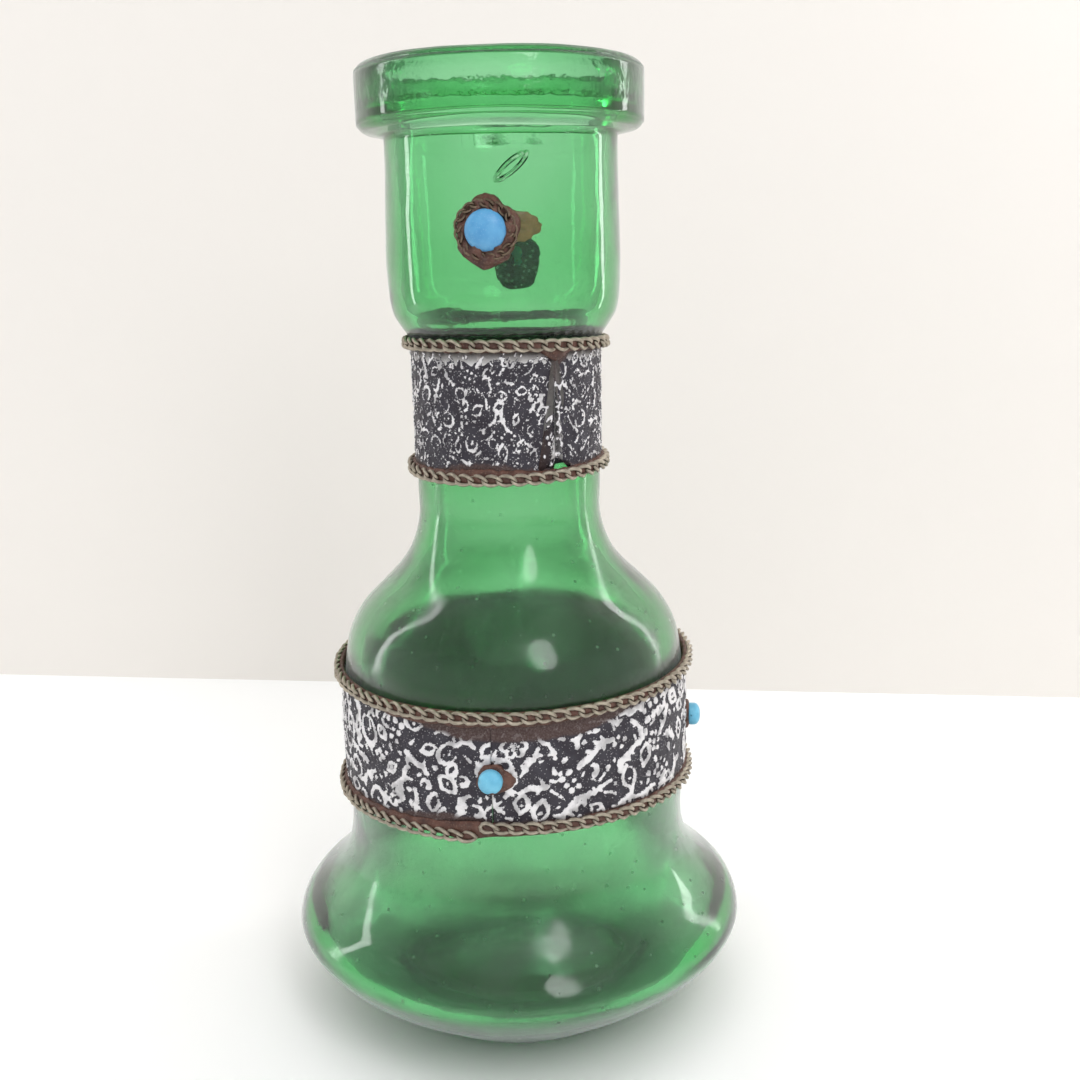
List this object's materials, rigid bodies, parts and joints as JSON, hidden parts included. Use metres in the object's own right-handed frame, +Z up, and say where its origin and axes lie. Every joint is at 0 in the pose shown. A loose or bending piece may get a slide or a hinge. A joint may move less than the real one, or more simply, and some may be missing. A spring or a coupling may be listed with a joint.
{
  "type": "glass candlestick",
  "caption": "Tall hollow green glass candlestick with a bun base, bell, narrow neck and collared cup, wrapped in embossed metal strips edged with chain and set with blue stones.",
  "frame": {"origin": "centre of the foot ring, on the plane that the foot rests on", "axes": "+Z up along the vessel's axis, -Y towards the front cup stone, +X towards the side stone of the bell band"},
  "size_m": [0.1062, 0.1062, 0.215],
  "materials": {
    "green_glass": "clear green blown glass, ground rim and foot",
    "embossed_sheet": "thin embossed white-metal sheet, blackened in the hollows",
    "aged_chain": "flat twisted-link chain, greyed and tarnished",
    "brown_resin": "lumpy translucent brown resin glue",
    "blue_stone": "satin sky-blue cabochon"
  },
  "bodies": {
    "root": {"glass_body": "green_glass", "neck_band": "embossed_sheet", "bell_band": "embossed_sheet", "neck_chain_upper": "aged_chain", "neck_chain_lower": "aged_chain", "bell_chain_upper": "aged_chain", "bell_chain_lower": "aged_chain", "neck_resin_upper": "brown_resin", "neck_resin_lower": "brown_resin", "bell_resin_upper": "brown_resin", "bell_resin_lower": "brown_resin", "cup_resin_front": "brown_resin", "cup_stone_front": "blue_stone", "cup_bezel_chain_front": "aged_chain", "cup_resin_back": "brown_resin", "cup_stone_back": "blue_stone", "cup_bezel_chain_back": "aged_chain", "band_resin_front": "brown_resin", "band_stone_front": "blue_stone", "band_resin_right": "brown_resin", "band_stone_right": "blue_stone", "band_resin_back": "brown_resin", "band_stone_back": "blue_stone"}
  },
  "joints": []
}
